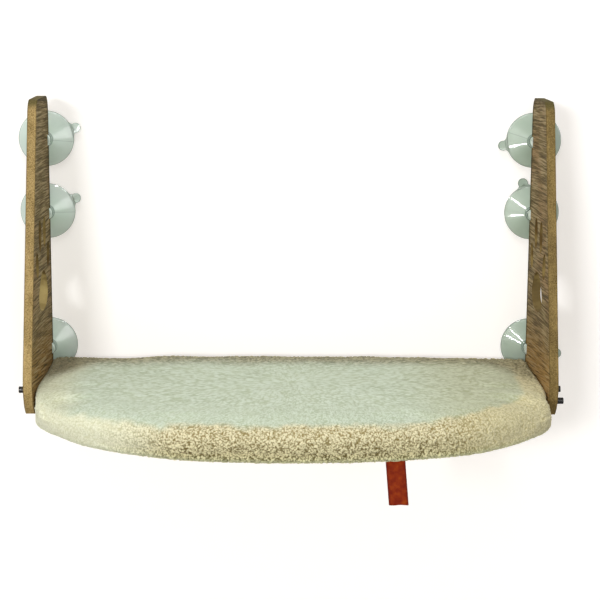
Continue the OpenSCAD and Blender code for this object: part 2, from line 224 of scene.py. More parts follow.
class Finish:
    """A material and its nodes, joined by short calls."""

    def __init__(self, name):
        self.material = bpy.data.materials.new(name)
        self.material.use_nodes = True
        self.tree = self.material.node_tree
        self.tree.nodes.clear()
        self.out = self.add("ShaderNodeOutputMaterial")

    def add(self, kind, sockets=None, **settings):
        """New node; sockets gives a value or a link for each input by name or number."""
        node = self.tree.nodes.new(kind)
        for key, value in settings.items():
            setattr(node, key, value)
        for key, value in (sockets or {}).items():
            self.put(node.inputs[key], value)
        return node

    def put(self, socket, value):
        """Links value to the socket if it is an output, and sets it otherwise."""
        if isinstance(value, bpy.types.NodeSocket):
            self.tree.links.new(value, socket)
        else:
            socket.default_value = value

    def sum(self, operation, a, b=0.0, c=0.0):
        """Arithmetic on numbers."""
        return self.add("ShaderNodeMath", {0: a, 1: b, 2: c}, operation=operation).outputs[0]

    def smooth(self, value, a, b, low=0.0, high=1.0):
        """Smooth step of value from low at a to high at b."""
        node = self.add(
            "ShaderNodeMapRange",
            {"Value": value, "From Min": a, "From Max": b, "To Min": low, "To Max": high},
            interpolation_type="SMOOTHSTEP",
        )
        return node.outputs["Result"]

    def place(self):
        """Object coordinates, and the same split into x, y and z."""
        spot = self.add("ShaderNodeTexCoord").outputs["Object"]
        split = self.add("ShaderNodeSeparateXYZ", {0: spot}).outputs
        return spot, split[0], split[1], split[2]

    def read(self, name):
        """Number that the piece's mesh carries under this name."""
        node = self.add("ShaderNodeAttribute", attribute_name=name, attribute_type="GEOMETRY")
        return node.outputs["Fac"]

    def stretch(self, vector, scale, move=(0, 0, 0)):
        """The vector scaled and moved."""
        sockets = {"Vector": vector, "Scale": scale, "Location": move}
        return self.add("ShaderNodeMapping", sockets).outputs[0]

    def noise(self, vector, scale, detail=3.0, rough=0.5, twist=0.0):
        """Noise from 0 to 1."""
        sockets = {"Vector": vector, "Scale": scale, "Detail": detail, "Roughness": rough}
        sockets["Distortion"] = twist
        return self.add("ShaderNodeTexNoise", sockets).outputs["Fac"]

    def mix(self, share, a, b):
        """Colour a with colour b laid on it by share."""
        node = self.add("ShaderNodeMix", data_type="RGBA")
        self.put(node.inputs["Factor"], share)
        self.put(node.inputs[6], a)
        self.put(node.inputs[7], b)
        return node.outputs[2]

    def ramp(self, value, stops):
        """Colour for value from (place, colour code) stops."""
        node = self.add("ShaderNodeValToRGB", {"Fac": value})
        band = node.color_ramp
        while len(band.elements) < len(stops):
            band.elements.new(1.0)
        for element, (place, code) in zip(band.elements, stops):
            element.position = place
            element.color = linear(code)
        return node.outputs["Color"]

    def bump(self, height, distance, strength=1.0, under=None):
        """Normal raised by height times distance."""
        sockets = {"Height": height, "Distance": distance, "Strength": strength}
        node = self.add("ShaderNodeBump", sockets)
        if under is not None:
            self.put(node.inputs["Normal"], under)
        return node.outputs["Normal"]

    def surface(self, sockets):
        """Finishes the material with a principled surface and returns it."""
        shader = self.add("ShaderNodeBsdfPrincipled", sockets)
        self.tree.links.new(shader.outputs[0], self.out.inputs["Surface"])
        return self.material


def plank_wood(name, dark, middle, light, warm, low_warm, edge_low, edge_high, sawn):
    """Rough torched wood on a plank's faces, and plain speckled board on its sawn edges.

    The grain lies nearly level and drops towards the window by 0.04, and by 0.12 low down. The
    walls of the paw print are painted darker at the top as shade, and freshly sawn below.
    """
    f = Finish(name)
    spot, x, y, z = f.place()
    edge_x = f.sum("ABSOLUTE", f.sum("SUBTRACT", f.sum("ABSOLUTE", x), PLANK_MIDDLE))
    on_face = f.smooth(edge_x, 4.66 * MM, 4.72 * MM)
    wander = f.noise(f.stretch(spot, (0, 6, 14)), 1.0, 2.0)
    ripple = f.noise(f.stretch(spot, (0, 60, 110), move=(1, 4, 2)), 1.0, 2.0)
    shift = f.sum("MULTIPLY_ADD", wander, 6 * MM, f.sum("MULTIPLY", ripple, 1.7 * MM))
    drop = f.smooth(z, -40 * MM, -120 * MM, 0.04, 0.12)
    level = f.sum("ADD", z, f.sum("MULTIPLY_ADD", y, drop, shift))
    along = f.add("ShaderNodeCombineXYZ", {0: x, 1: y, 2: level}).outputs[0]
    bands = f.noise(f.stretch(along, (50, 17, 560)), 1.0, 2.0, 0.5)
    streaks = f.noise(f.stretch(along, (50, 30, 1000), move=(2, 5, 3)), 1.0, 2.0, 0.6)
    broad = f.noise(f.stretch(along, (50, 9, 110), move=(6, 3, 4)), 1.0, 2.0)
    cracks = f.noise(f.stretch(along, (50, 24, 380), move=(3, 7, 1)), 1.0, 2.0, 0.5, 0.3)
    patches = f.noise(f.stretch(spot, (1, 26, 16), move=(5, 2, 9)), 1.0, 3.0)
    fine = f.sum("MULTIPLY_ADD", streaks, 0.3, f.sum("MULTIPLY", broad, 0.1))
    grain = f.sum("MULTIPLY_ADD", bands, 0.6, fine)
    face = f.ramp(grain, [(0.39, dark), (0.5, middle), (0.6, light)])
    face = f.mix(f.smooth(cracks, 0.42, 0.34, 0.0, 0.45), face, linear(dark))
    reddish = f.mix(f.smooth(grain, 0.42, 0.58), linear(dark), linear(warm))
    face = f.mix(f.smooth(patches, 0.42, 0.68, 0.0, 0.55), face, reddish)
    low_end = f.smooth(f.sum("MULTIPLY_ADD", patches, 50 * MM, z), -38 * MM, -88 * MM, 0.0, 0.8)
    face = f.mix(low_end, face, f.ramp(grain, [(0.38, dark), (0.5, low_warm), (0.64, light)]))
    top_end = f.smooth(f.sum("MULTIPLY_ADD", patches, 10 * MM, z), 160 * MM, 171 * MM, 0.0, 0.7)
    face = f.mix(top_end, face, linear("3A3320"))
    rear_end = f.smooth(f.sum("MULTIPLY_ADD", patches, 8 * MM, y), -27 * MM, -17 * MM, 0.0, 0.7)
    face = f.mix(rear_end, face, linear("35331C"))
    front_gap = f.sum("MULTIPLY_ADD", z, -PLANK_LEAN, f.sum("ADD", y, PLANK_REACH))
    chips = f.noise(f.stretch(spot, (500, 160, 260)), 1.0, 2.0)
    worn = f.sum("MULTIPLY", f.smooth(front_gap, 2.6 * MM, 0.4 * MM), f.smooth(chips, 0.56, 0.66))
    face = f.mix(f.sum("MULTIPLY", worn, 0.7), face, linear(edge_high))

    speckle = f.noise(spot, 900, 1.0, 0.5)
    cloudy = f.noise(f.stretch(spot, (90, 90, 30)), 1.0, 3.0)
    mottle = f.sum("MULTIPLY_ADD", speckle, 0.6, f.sum("MULTIPLY", cloudy, 0.4))
    edge = f.ramp(mottle, [(0.34, edge_low), (0.64, edge_high)])
    arris = f.smooth(edge_x, 3.7 * MM, 4.6 * MM, 0.0, 0.6)
    edge = f.mix(arris, edge, linear("4A3E20"))
    scorched_end = f.mix(speckle, linear("38341C"), linear("625A34"))
    edge = f.mix(f.smooth(z, 154 * MM, 162 * MM, 0.0, 0.85), edge, scorched_end)
    # Painted shade: the upper walls of the paw print are darker.
    cut_wall_shade = f.mix(f.smooth(cloudy, 0.4, 0.6), linear("5E4A28"), linear("8E7A4A"))
    cut_wall = f.mix(f.smooth(cloudy, 0.62, 0.4, 0.0, 0.5), linear(sawn), linear(edge_low))
    cut_wall = f.mix(f.smooth(z, -22 * MM, -38 * MM), cut_wall_shade, cut_wall)
    in_paw = f.sum("MULTIPLY", f.smooth(front_gap, 6 * MM, 8 * MM), f.smooth(z, -84 * MM, -76 * MM))
    in_paw = f.sum("MULTIPLY", in_paw, f.smooth(z, 144 * MM, 136 * MM))
    edge = f.mix(in_paw, edge, cut_wall)
    colour = f.mix(on_face, edge, face)
    relief = f.sum("SUBTRACT", grain, f.smooth(cracks, 0.42, 0.35, 0.0, 0.25))
    height = f.sum("MULTIPLY", relief, on_face)
    rough_cut = f.bump(height, 3.0 * MM, 0.9)
    normal = f.bump(speckle, 0.2 * MM, 0.5, rough_cut)
    return f.surface(
        {
            "Base Color": colour,
            "Roughness": f.smooth(grain, 0.35, 0.65, 0.7, 0.9),
            "Normal": normal,
            "Specular IOR Level": 0.06,
        }
    )


def cup_mint(name, deep, pale, edge_tint, boss):
    """Clear soft mint plastic, deeper in tint along its thin edges and the mould's parting line,
    with a boss colour painted on the neck and head as light and shade.

    The map "turn" holds the share of a turn round the cup and the radius, so the way to the
    parting line is the gap in turn times the radius.
    """
    f = Finish(name)
    spot = f.place()[0]
    turn_map = f.add("ShaderNodeUVMap", uv_map="turn").outputs[0]
    turned, radius = f.add("ShaderNodeSeparateXYZ", {0: turn_map}).outputs[:2]
    parting_share = 0.925
    off_line = f.sum("ABSOLUTE", f.sum("SUBTRACT", turned, parting_share))
    off_line = f.sum("MULTIPLY", off_line, radius)
    cloudy = f.noise(spot, 34, 2.0)
    colour = f.ramp(cloudy, [(0.35, deep), (0.65, pale)])
    # Painted light and shade: the boss colour is laid over the neck and head.
    colour = f.mix(f.sum("MULTIPLY", f.read("boss"), 0.8), colour, linear(boss))
    line = f.smooth(off_line, 0.09 * MM, 0.03 * MM, 0.0, 0.35)
    colour = f.mix(line, colour, linear(edge_tint))
    # The edge number also paints shade over the tab's faces.
    colour = f.mix(f.smooth(f.read("edge"), 0.2, 0.9, 0.0, 0.85), colour, linear(edge_tint))
    return f.surface(
        {
            "Base Color": colour,
            "Roughness": 0.3,
            "IOR": 1.5,
            "Transmission Weight": 0.1,
            "Subsurface Weight": 0.5,
            "Subsurface Radius": (1.0, 1.0, 1.0),
            "Subsurface Scale": 7 * MM,
            "Specular IOR Level": 0.2,
            "Coat Weight": 0.7,
            "Coat Roughness": 0.05,
            "Normal": f.bump(cloudy, 0.12 * MM, 0.3),
        }
    )


def black_steel():
    """Blackened screws and washers, brighter where the black has rubbed off."""
    f = Finish("black_steel")
    rubbed = f.noise(f.place()[0], 700, 3.0)
    colour = f.ramp(rubbed, [(0.5, "141414"), (0.8, "34302C")])
    gloss = f.smooth(rubbed, 0.3, 0.8, 0.26, 0.42)
    return f.surface({"Base Color": colour, "Metallic": 0.7, "Roughness": gloss})


def plain_board():
    """Plywood of the bed's board and cleats."""
    f = Finish("plain_board")
    spot = f.place()[0]
    figure = f.noise(f.stretch(spot, (7, 160, 420)), 1.0, 4.0, 0.6, 0.4)
    pores = f.noise(f.stretch(spot, (120, 1500, 1500)), 1.0, 2.0)
    colour = f.ramp(figure, [(0.3, "A4814F"), (0.55, "C09C68"), (0.75, "CBAA78")])
    colour = f.mix(f.smooth(pores, 0.6, 0.75, 0.0, 0.4), colour, linear("7C5C34"))
    normal = f.bump(pores, 0.1 * MM, 0.4)
    return f.surface({"Base Color": colour, "Roughness": 0.7, "Normal": normal})


def sherpa():
    """Curly plush: mint pile on top, cream curls round the rim, with painted shade in the gaps
    between curls and along the rear.
    """
    f = Finish("sherpa")
    spot, x, y, z = f.place()
    curl, rim, calm = f.read("curl"), f.read("rim"), f.read("calm")
    fibre = f.noise(spot, 1500, 2.0, 0.7)
    tangle = f.noise(spot, 560, 3.0, 0.6, 0.8)
    broad = f.noise(spot, 15, 3.0)
    low = f.sum("MULTIPLY_ADD", broad, 12 * MM, z)
    low = f.smooth(low, BED_TOP + 2 * MM, BED_BOTTOM + 12 * MM)
    depth = f.sum("MULTIPLY_ADD", f.sum("SUBTRACT", tangle, 0.5), 0.7, curl)
    depth = f.smooth(depth, 0.1, 0.75)
    # Painted shade: the pile's roots and the gaps between curls are darker, the curl tips paler.
    root_shade = f.mix(f.smooth(broad, 0.35, 0.65), linear("A8B496"), linear("B2BD9F"))
    top = f.mix(depth, root_shade, linear("CCD6C4"))
    right_top = f.mix(depth, linear("A0A27C"), linear("C2C5A6"))
    top = f.mix(f.smooth(x, 90 * MM, 190 * MM, 0.0, 0.8), top, right_top)
    left_top = f.mix(depth, linear("B8B894"), linear("D6D8BE"))
    far_left = f.sum("MULTIPLY_ADD", broad, 40 * MM, x)
    far_left = f.smooth(far_left, -185 * MM, -225 * MM, 0.0, 0.9)
    top = f.mix(far_left, top, left_top)
    tip = f.mix(low, linear("E8E0BC"), linear("DED5A8"))
    gap = f.mix(low, linear("90804E"), linear("5E5128"))
    cream = f.mix(depth, gap, tip)
    smooth_cream = f.mix(depth, linear("D2D1AE"), linear("EAEAD0"))
    cream = f.mix(calm, cream, smooth_cream)
    right_cream = f.mix(depth, linear("B0A474"), linear("D6CCA0"))
    cream = f.mix(f.smooth(x, 120 * MM, 215 * MM, 0.0, 0.8), cream, right_cream)
    colour = f.mix(rim, top, cream)
    # Painted shade: olive darkening along the rear, reaching further forward beside the planks and
    # weaker on the rear face.
    beside = f.smooth(f.sum("ABSOLUTE", x), 200 * MM, 262 * MM, 0.0, 44 * MM)
    shaded = f.sum("ADD", f.sum("MULTIPLY_ADD", broad, 34 * MM, y), beside)
    shaded = f.smooth(shaded, -92 * MM, -30 * MM, 0.0, 0.9)
    less_below = f.smooth(z, BED_TOP - 26 * MM, BED_TOP - 8 * MM, 0.4, 1.0)
    shaded = f.sum("MULTIPLY", shaded, less_below)
    olive = f.mix(f.smooth(x, -245 * MM, -200 * MM), linear("8E8260"), linear("B4AA84"))
    clumps = f.noise(spot, 150, 2.0, 0.6, 0.5)
    olive = f.mix(f.smooth(clumps, 0.56, 0.4, 0.0, 0.7), olive, linear("665C3A"))
    colour = f.mix(shaded, colour, f.mix(depth, linear("454028"), olive))
    green_low = f.smooth(z, BED_BOTTOM + 9 * MM, BED_BOTTOM - 1 * MM, 0.0, 0.4)
    colour = f.mix(green_low, colour, f.mix(depth, linear("7E8858"), linear("BCC896")))
    fluff = f.bump(tangle, 0.8 * MM, 0.7)
    fluff = f.bump(fibre, 0.35 * MM, 0.6, fluff)
    return f.surface(
        {
            "Base Color": colour,
            "Roughness": 0.95,
            "Specular IOR Level": 0.12,
            "Sheen Weight": 0.25,
            "Sheen Roughness": 0.5,
            "Sheen Tint": linear("F2F0DC"),
            "Normal": fluff,
        }
    )


def red_tape():
    """Woven red-orange tape, read along its own width and length."""
    f = Finish("red_tape")
    uv = f.add("ShaderNodeUVMap", uv_map="tape").outputs[0]
    split = f.add("ShaderNodeSeparateXYZ", {0: uv}).outputs
    across, along = split[0], split[1]
    weft = f.sum("SINE", f.sum("MULTIPLY", along, 2 * pi * 2200))
    warp = f.sum("SINE", f.sum("MULTIPLY", across, 2 * pi * 1500))
    weave = f.sum("MULTIPLY", weft, warp)
    wash = f.noise(uv, 120, 3.0)
    colour = f.ramp(wash, [(0.35, "761C04"), (0.55, "8E3006"), (0.7, "9C420A")])
    edge = f.sum("ABSOLUTE", across)
    colour = f.mix(f.smooth(edge, 6.4 * MM, 9.4 * MM, 0.0, 0.85), colour, linear("641002"))
    colour = f.mix(f.smooth(weave, -0.2, -1.0, 0.0, 0.25), colour, linear("4A1404"))
    return f.surface(
        {
            "Base Color": colour,
            "Roughness": 0.75,
            "Specular IOR Level": 0.08,
            "Normal": f.bump(weave, 0.12 * MM, 0.5),
        }
    )


# Plush bed

# Columns along the front, each side, each corner and the rear, and rows of hem, rim and top
FINE_COLUMNS, FINE_ROWS = (940, 120, 12, 450), (16, 76, 92)
CLOTH_COLUMNS, CLOTH_ROWS = (72, 12, 2, 50), (4, 10, 22)
TOP_POWER = 1.25  # how the rows over the top crowd towards its edge
CROWN = 4 * MM  # rise of the top's middle
CLOTH_FRAMES = 20
SWELL_MOST = 5 * MM  # most that the simulation may move a point
RIM_WAVE = 0.9 * MM
RIM_CURL = 2.2 * MM  # size across of a curl on the rim
TOP_TUFT = 5.5 * MM  # size across of a tuft in the middle of the top
PILE, CURL_PILE, REAR_PILE = 0.6, 1.7, 1.7  # height in millimetres, and what curls and rear add


def bed_columns(front_n, side_n, corner_n, rear_n):
    """Function that gives the bed's plan outline drawn in by an inset, at even steps of length.

    Front: x = w |cos a|^(2/p), y = start + f |sin a|^(2/p) with the signs kept. Then a straight
    side, a round corner, the straight rear and the same back again.
    """

    def keep(v):
        """The power 2/p of v with its sign kept."""
        return np.sign(v) * np.abs(v) ** (2 / FRONT_POWER)

    dense = np.linspace(pi, 2 * pi, 40001)
    depth = ROUND_START - FRONT
    run = np.hypot(np.diff(SIDE * keep(np.cos(dense))), np.diff(depth * keep(np.sin(dense))))
    length = np.concatenate([[0], np.cumsum(run)])
    angle = np.interp(np.linspace(0, length[-1], front_n + 1), length, dense)
    side = np.arange(1, side_n) / side_n
    turn = np.linspace(0, pi / 2, corner_n + 1)
    rear = np.arange(1, rear_n) / rear_n

    def outline(inset):
        """Points of the outline that lies inset inside the bed's edge."""
        w, f, y = SIDE - inset, depth - inset, REAR - inset
        r = max(CORNER - inset, 2 * MM)
        side_y = ROUND_START + (y - r - ROUND_START) * side
        right = np.stack([np.full_like(side, w), side_y], axis=-1)
        corner = np.stack([w - r + r * np.cos(turn), y - r + r * np.sin(turn)], axis=-1)
        back = np.stack([(w - r) * (1 - 2 * rear), np.full_like(rear, y)], axis=-1)
        far = corner[::-1] * (-1, 1)
        left = right[::-1] * (-1, 1)
        front_y = ROUND_START + f * keep(np.sin(angle))
        front = np.stack([w * keep(np.cos(angle)), front_y], axis=-1)
        return np.concatenate([front, right, corner, back, far, left])

    return outline


def top_shares(top_n):
    """How far each row over the top has come from the edge to the bed's middle."""
    return (np.arange(1, top_n) / top_n) ** TOP_POWER


def bed_grid(outline, hem_n, rim_n, top_n):
    """Rings of the plush cover from the hem's inner edge, round the rim and in over the top.

    It also gives the number of rows on the hem. The rim follows a quarter circle of radius r, a
    straight of height h - 2 r and a second quarter circle, at even steps of length;
    r = i + c + sqrt(2 c i) passes c under the board's corner, which lies i inside the outline.
    Over the top, ring k is the edge ring drawn to the bed's middle by k, raised by
    crown (1 - k^2).
    """
    board_side, board_more_ahead, under_board, widest = 2.4 * MM, 14.6 * MM, 1.4 * MM, 17 * MM
    edge = outline(0.0)
    inward = (outline(MM) - edge) / MM
    ahead = step_up(-edge[:, 1], -PLANK_FRONT, -PLANK_FRONT + 90 * MM)
    board_in = board_side + board_more_ahead * ahead
    r = np.minimum(widest, board_in + under_board + np.sqrt(2 * under_board * board_in))
    straight = RIM_H - 2 * r
    total = pi * r + straight
    hem = outline(HEM)
    flat = edge + inward * r[:, None]
    rows = [(hem, BED_BOTTOM + 4 * MM), (hem, BED_BOTTOM + MM)]
    for t in np.arange(1, hem_n) / hem_n:
        rows.append((hem + (flat - hem) * t, BED_BOTTOM))
    for t in np.linspace(0, 1, rim_n + 1):
        s = t * total
        low = np.clip(s / r, 0, pi / 2)
        high = np.clip((s - pi * r / 2 - straight) / r, 0, pi / 2)
        on_low, on_high = s < pi * r / 2, s > pi * r / 2 + straight
        draw = r * np.where(on_low, 1 - np.sin(low), np.where(on_high, 1 - np.cos(high), 0))
        upper_z = np.where(
            on_high, BED_TOP - r * (1 - np.sin(high)), BED_BOTTOM + r + (s - pi * r / 2)
        )
        z = np.where(on_low, BED_BOTTOM + r * (1 - np.cos(low)), upper_z)
        rows.append((edge + inward * draw[:, None], z))
    middle = np.array([0, BED_MIDDLE])
    for k in 1 - top_shares(top_n):
        rows.append((middle + (flat - middle) * k, BED_TOP + CROWN * (1 - k * k)))
    plan = np.stack([row[0] for row in rows])
    height = np.stack([np.broadcast_to(row[1], len(edge)) for row in rows])
    return np.concatenate([plan, height[..., None]], axis=-1), hem_n + 1


def close_rings(g):
    """Points of grid g and its two poles, with their faces."""
    rows, columns = g.shape[:2]
    low = np.array([[0, BED_MIDDLE, g[0, :, 2].mean()]])
    high = np.array([[0, BED_MIDDLE, g[-1, :, 2].mean() + 0.02 * MM]])
    points = np.concatenate([g.reshape(-1, 3), low, high])
    quads, tris = ring_faces(rows, columns, rows * columns, rows * columns + 1)
    return points, quads, tris


def resample(coarse, coarse_v, fine_v, coarse_u, fine_u):
    """Field on the coarse grid read at the fine grid's rows v and columns u.

    Between two coarse rows or columns the share t goes over as t * t * (3 - 2 t).
    """
    rows = np.clip(np.searchsorted(coarse_v, fine_v) - 1, 0, len(coarse_v) - 2)
    tv = np.clip((fine_v - coarse_v[rows]) / (coarse_v[rows + 1] - coarse_v[rows]), 0, 1)
    tv = (tv * tv * (3 - 2 * tv))[:, None, None]
    part = coarse[rows] * (1 - tv) + coarse[rows + 1] * tv
    closed = np.concatenate([part, part[:, :1]], axis=1)
    ring = np.concatenate([coarse_u, [1.0]])
    cols = np.clip(np.searchsorted(ring, fine_u, side="right") - 1, 0, len(ring) - 2)
    tu = np.clip((fine_u - ring[cols]) / (ring[cols + 1] - ring[cols]), 0, 1)
    tu = (tu * tu * (3 - 2 * tu))[None, :, None]
    return closed[:, cols] * (1 - tu) + closed[:, cols + 1] * tu


def girth(outline):
    """Share of the outline's length at each column."""
    p = outline(0.0)
    run = np.linalg.norm(np.roll(p, -1, axis=0) - p, axis=-1)
    return np.concatenate([[0], np.cumsum(run)[:-1]]) / run.sum()


def row_places(hem_rows, rim_n, top_n):
    """Place of each row: 0 to 1 on the hem, 1 to 2 round the rim and 2 to 3 over the top."""
    hem = np.linspace(0, 1, hem_rows, endpoint=False)
    rim = 1 + np.linspace(0, 1, rim_n + 1)
    return np.concatenate([hem, rim, 2 + top_shares(top_n)])


def swell(base):
    """How far a cloth simulation with air pressure moves each point of the grid base.

    The underside and the sides beside the planks are held fast, and the rear edge by 0.8. The
    skin tightens as it swells, which draws the front edge in by nearly 5 mm.
    """
    points, quads, tris = close_rings(base)
    count = base[..., 0].size
    pad = mesh_piece("swelling_pad", points, quads, tris)
    held = pad.vertex_groups.new(name="held")
    x, y, z = points[:, 0], points[:, 1], points[:, 2]
    underside = step_up(BED_BOTTOM + 6 * MM - z, 0, 5 * MM)
    beside = step_up(np.abs(x), SIDE - 14 * MM, SIDE - 5 * MM) * step_up(y, -205 * MM, -180 * MM)
    rear = step_up(y, REAR - 12 * MM, REAR - 4 * MM) * 0.8
    firm = np.maximum(np.maximum(underside, beside), rear)
    firm[count:] = (1.0, 0.0)
    for weight in np.linspace(0.05, 1, 20):
        chosen = np.nonzero(np.abs(firm - weight) <= 0.025)[0]
        if len(chosen):
            held.add(chosen.tolist(), float(weight), "REPLACE")
    cloth = pad.modifiers.new("pressure", "CLOTH")
    settings = cloth.settings
    settings.quality = 6
    settings.mass = 0.4
    settings.tension_stiffness = 12
    settings.compression_stiffness = 12
    settings.bending_stiffness = 2
    settings.use_pressure = True
    settings.uniform_pressure_force = 4
    settings.vertex_group_mass = "held"
    settings.effector_weights.gravity = 0
    cloth.collision_settings.use_collision = False
    cloth.point_cache.frame_start = 1
    cloth.point_cache.frame_end = CLOTH_FRAMES
    for step in range(1, CLOTH_FRAMES + 1):
        scene.frame_set(step)
    solved = pad.evaluated_get(bpy.context.evaluated_depsgraph_get()).to_mesh()
    moved = np.empty(len(points) * 3, np.float32)
    solved.vertices.foreach_get("co", moved)
    gain = moved.reshape(-1, 3)[:count] - points[:count]
    scene.frame_set(1)
    bpy.data.objects.remove(pad)
    far = np.linalg.norm(gain, axis=-1, keepdims=True)
    gain *= np.minimum(1, SWELL_MOST / np.maximum(far, 1e-9))
    return gain.reshape(base.shape)


def curls(p, size, salt):
    """Height from 0 to 1 of woolly curls about size across at points p.

    Each tuft is a dome, sqrt(1 - (d / 0.95)^2) with d the way to its seed, at places twisted by
    smooth noise, and it is pinched where the next tuft begins.
    """
    twist = np.stack([drift(p / (1.5 * size), salt + k) for k in range(3)], axis=-1)
    near, second, own = tufts(p / size + twist * 0.75, salt + 9)
    dome = np.sqrt(np.clip(1 - (near / 0.95) ** 2, 0, 1)) * (0.6 + 0.4 * own)
    return dome * (0.3 + 0.7 * step_up(second - near, 0.0, 0.28))


def front_bulge(x, y, place, at_front):
    """How far each point moves: bulging sides in front of the planks, and a sagging low edge.

    The right side bulges by 7.5 mm from its lower half up. The left draws in by 2 mm low down and
    bulges by 4 mm above. The low edge drops by 1.2 mm at the right and rises by 0.6 mm at the left.
    """
    out_front = step_up(-y, 188 * MM, 212 * MM) * (1 - 0.85 * step_up(-y, 222 * MM, 300 * MM))
    left_rise = step_up(place, 1.2, 1.65) * 1.5 - 0.5 * step_up(place, 0.6, 1.0)
    from_low = np.where(x > 0, step_up(place, 0.7, 1.4), left_rise)
    on_side = step_up(np.abs(x), 150 * MM, 235 * MM) * from_low * (1 - step_up(place, 2.0, 2.35))
    bulge = np.where(x > 0, 7.5 * MM, 4 * MM)
    low_rim = step_up(place, 0.55, 1.0) * (1 - step_up(place, 1.3, 1.9)) * at_front
    sag = 1.2 * MM * step_up(x, 110 * MM, 190 * MM) - 0.6 * MM * step_up(-x, 110 * MM, 170 * MM)
    outwards = np.sign(x) * bulge * out_front * on_side
    return np.stack([outwards, np.zeros_like(x), -sag * low_rim], axis=-1)


def pile_zones(g, x, y, over_top):
    """Shares of cream, of curly and of calm pile at each point.

    over_top is the way past the rim's top edge. The cream ends at -6 mm of it in the middle, at
    -13 mm at the left and at 16 mm at the right. The pile lies calm at the bed's two ends.
    """
    left, right = step_up(-x, 50 * MM, 190 * MM), step_up(x, 160 * MM, 245 * MM)
    reach = (-6 - 7 * left + 22 * right) * MM
    cream = 1 - step_up(over_top, reach - 5 * MM, reach + 7 * MM)
    curly = 1 - step_up(over_top, reach - 6 * MM, reach + 8 * MM)
    calm_left = step_up(-x + 16 * MM * drift(g / (30 * MM), 12), 105 * MM, 190 * MM)
    calm_right = step_up(x + 12 * MM * drift(g / (30 * MM), 13), 170 * MM, 215 * MM)
    calm = np.maximum(calm_left, 0.8 * calm_right) * step_up(-y, 100 * MM, 160 * MM)
    return cream, curly, calm


def plush_bed():
    """The sherpa cover with its padding: a closed form, swollen by pressure and covered in curls.

    Beside the planks it is kept within their inner faces.
    """
    outline = bed_columns(*FINE_COLUMNS)
    g, hem_rows = bed_grid(outline, *FINE_ROWS)
    rim_n, top_n = FINE_ROWS[1:]
    place = row_places(hem_rows, rim_n, top_n)
    cloth_outline = bed_columns(*CLOTH_COLUMNS)
    base, base_hem = bed_grid(cloth_outline, *CLOTH_ROWS)
    base_place = row_places(base_hem, *CLOTH_ROWS[1:])
    g = g + resample(swell(base), base_place, place, girth(cloth_outline), girth(outline))
    place = place[:, None]
    x, y = g[..., 0].copy(), g[..., 1].copy()
    at_front = step_up(-y, 170 * MM, 225 * MM)
    g = g + front_bulge(x, y, place, at_front)

    normal = grid_normals(g)
    wave = drift(g / (46 * MM), 3) + 0.5 * drift(g / (21 * MM), 4)
    wave = wave + 0.35 * (1 + drift(g / (8 * MM), 5)) * at_front
    on_rim = step_up(place, 1.02, 1.25)
    g = g + normal * (wave * RIM_WAVE * on_rim)[..., None]

    edge_gap = np.linalg.norm(g[..., :2] - g[hem_rows + rim_n, :, :2], axis=-1)
    over_top = np.where(place > 2, edge_gap, (place - 2) * 52 * MM)
    over_top = over_top + 4 * MM * drift(g / (16 * MM), 9) + 2 * MM * drift(g / (6 * MM), 10)
    cream, curly, calm = pile_zones(g, x, y, over_top)
    at_back = step_up(y, -95 * MM, -40 * MM)
    height = MM * (PILE + CURL_PILE * curly * (1 - 0.62 * calm) + REAR_PILE * at_back)
    height = height * step_up(place, 0.7, 1.1)
    curl = curls(g, RIM_CURL, 20)
    inner = place[:, 0] > 2
    loose = step_up(edge_gap[inner], 22 * MM, 60 * MM)
    curl[inner] = curl[inner] * (1 - loose) + curls(g[inner], TOP_TUFT, 33) * loose
    low_guard = 0.35 * (1 - step_up(place, 1.1, 1.3))
    g = g + normal * (height * (curl - 0.5 + low_guard))[..., None]

    beside = step_up(g[..., 1], -207 * MM, -190 * MM)
    limit = SIDE + 0.1 * MM + (1 - beside) * 12 * MM
    g[..., 0] = np.clip(g[..., 0], -limit, limit)
    points, quads, tris = close_rings(g)
    piece = mesh_piece("plush_bed", points, quads, tris)
    poles = np.zeros(2)
    for name, values in (("curl", curl), ("rim", cream), ("calm", calm)):
        add_numbers(piece, name, np.concatenate([values.ravel(), poles]))
    piece.data.materials.append(sherpa())
    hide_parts("plush_cover", "foam_pad")
    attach(piece, "perch")


# Suction cups


def rounded_chain(corners, steps):
    """Points along straight runs between corners, each corner rounded by a quadratic curve.

    A corner is (radius, height, rounding) in millimetres. With a and b on its two runs, rounding
    away from it, its curve is (1 - t)^2 a + 2 t (1 - t) corner + t^2 b.
    """
    c = np.array(corners, float)
    t = np.linspace(0, 1, steps)[:, None]
    pieces = [c[:1, :2]]
    for k in range(1, len(c) - 1):
        p = c[k, :2]
        back, on = c[k - 1, :2] - p, c[k + 1, :2] - p
        a = p + back * min(c[k, 2] / np.linalg.norm(back), 0.48)
        b = p + on * min(c[k, 2] / np.linalg.norm(on), 0.48)
        pieces.append((1 - t) ** 2 * a + 2 * t * (1 - t) * p + t**2 * b)
    pieces.append(c[-1:, :2])
    return np.concatenate(pieces) * MM


# Half section of a cup, as (radius, height, rounding) in millimetres: from the middle of its
# hollow out over the lip, back along the cone to the collar and the neck, and over the head. The
# corners at heights 2.371 and 10.9635 lie on the straight cone and keep its shading even.
CUP_CORNERS = [
    (0.01, 3.7, 0),
    (12, 3.3, 4),
    (26, 1.2, 3),
    (28.6, 0, 0.5),
    (30.5, 0, 0.3),
    (30.5, 1.0, 0.3),
    (29.3, 1.15, 0.2),
    (28.9, 1.88, 0.3),
    (27.9, 2.371, 0.3),
    (10.4, 10.9635, 0.3),
    (8.9, 11.7, 0.9),
    (8.2, 13.0, 0.5),
    (8.2, 14.4, 0.35),
    (7.3, 14.4, 0.15),
    (7.1, 13.8, 0.15),
    (6.8, 13.8, 0.15),
    (6.6, 14.9, 0.2),
    (6.3, 15.6, 0.4),
    (4.9, 15.8, 0.5),
    (4.9, 22.15, 0.3),
    (7.5, 22.15, 1.3),
    (7.5, 26.85, 1.3),
    (0.01, 26.85, 0),
]


